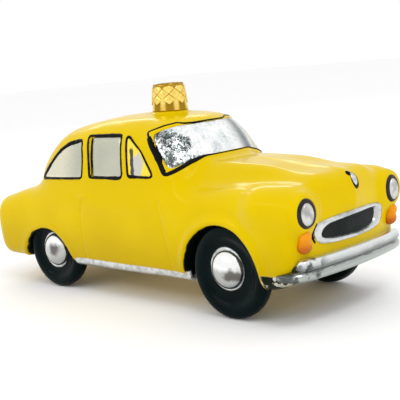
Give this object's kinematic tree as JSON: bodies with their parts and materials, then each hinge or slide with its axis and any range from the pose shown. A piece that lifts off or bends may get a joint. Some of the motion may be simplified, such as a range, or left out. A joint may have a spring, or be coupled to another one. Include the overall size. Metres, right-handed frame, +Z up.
{
  "type": "blown-glass car ornament",
  "caption": "Hollow glass saloon-car hanging ornament with painted wheels, lamps and bumpers, a crown cap on its roof neck and a pull-up wire loop.",
  "frame": {"origin": "centre of the overall box, on the plane the four tyres stand on", "axes": "+X towards the car's nose, +Y towards its left side, +Z up"},
  "size_m": [0.1298, 0.0466, 0.0589],
  "materials": {
    "yellow_lacquer": "opaque yellow lacquer on blown glass, high gloss",
    "window_mirror": "bare silvered glass, faintly satin, with a hand-drawn black outline",
    "crackle_silver": "bare silvered glass with crackled silvering",
    "silver_paint": "hand-brushed silver paint on glass",
    "lamp_silver": "pearly silver paint on glass",
    "black_paint": "satin black paint on glass",
    "tyre_paint": "glossy blue-black lacquer on glass",
    "orange_paint": "orange paint on glass",
    "red_paint": "red paint on glass",
    "gold_cap": "embossed, gold-coloured sheet metal",
    "gold_wire": "drawn spring wire, gold-coloured"
  },
  "bodies": {
    "glass_car": {"glass_shell": "yellow_lacquer", "windscreen": "crackle_silver", "rear_window": "window_mirror", "grille_surround": "silver_paint", "grille_mouth": "black_paint", "bonnet_badge": "silver_paint", "front_bumper": "silver_paint", "rear_bumper": "silver_paint", "quarter_window_left": "window_mirror", "door_window_left": "window_mirror", "vent_window_left": "window_mirror", "sill_left": "silver_paint", "headlight_rim_left": "black_paint", "headlight_lens_left": "lamp_silver", "indicator_left": "orange_paint", "tail_lamp_left": "red_paint", "door_handle_left": "yellow_lacquer", "tyre_front_left": "tyre_paint", "hub_ring_front_left": "silver_paint", "hub_dome_front_left": "silver_paint", "tyre_rear_left": "tyre_paint", "hub_ring_rear_left": "silver_paint", "hub_dome_rear_left": "silver_paint", "quarter_window_right": "window_mirror", "door_window_right": "window_mirror", "vent_window_right": "window_mirror", "sill_right": "silver_paint", "headlight_rim_right": "black_paint", "headlight_lens_right": "lamp_silver", "indicator_right": "orange_paint", "tail_lamp_right": "red_paint", "door_handle_right": "yellow_lacquer", "tyre_front_right": "tyre_paint", "hub_ring_front_right": "silver_paint", "hub_dome_front_right": "silver_paint", "tyre_rear_right": "tyre_paint", "hub_ring_rear_right": "silver_paint", "hub_dome_rear_right": "silver_paint"},
    "cap": {"crown_cap": "gold_cap"},
    "hanger": {"hanger_wire": "gold_wire"}
  },
  "joints": [
    {"name": "cap_pull", "type": "slide", "parent": "glass_car", "child": "cap", "axis": [0, 0, 1], "range_m": [0, 0.018]},
    {"name": "hanger_pull", "type": "slide", "parent": "cap", "child": "hanger", "axis": [0, 0, 1], "range_m": [0, 0.0065]}
  ]
}
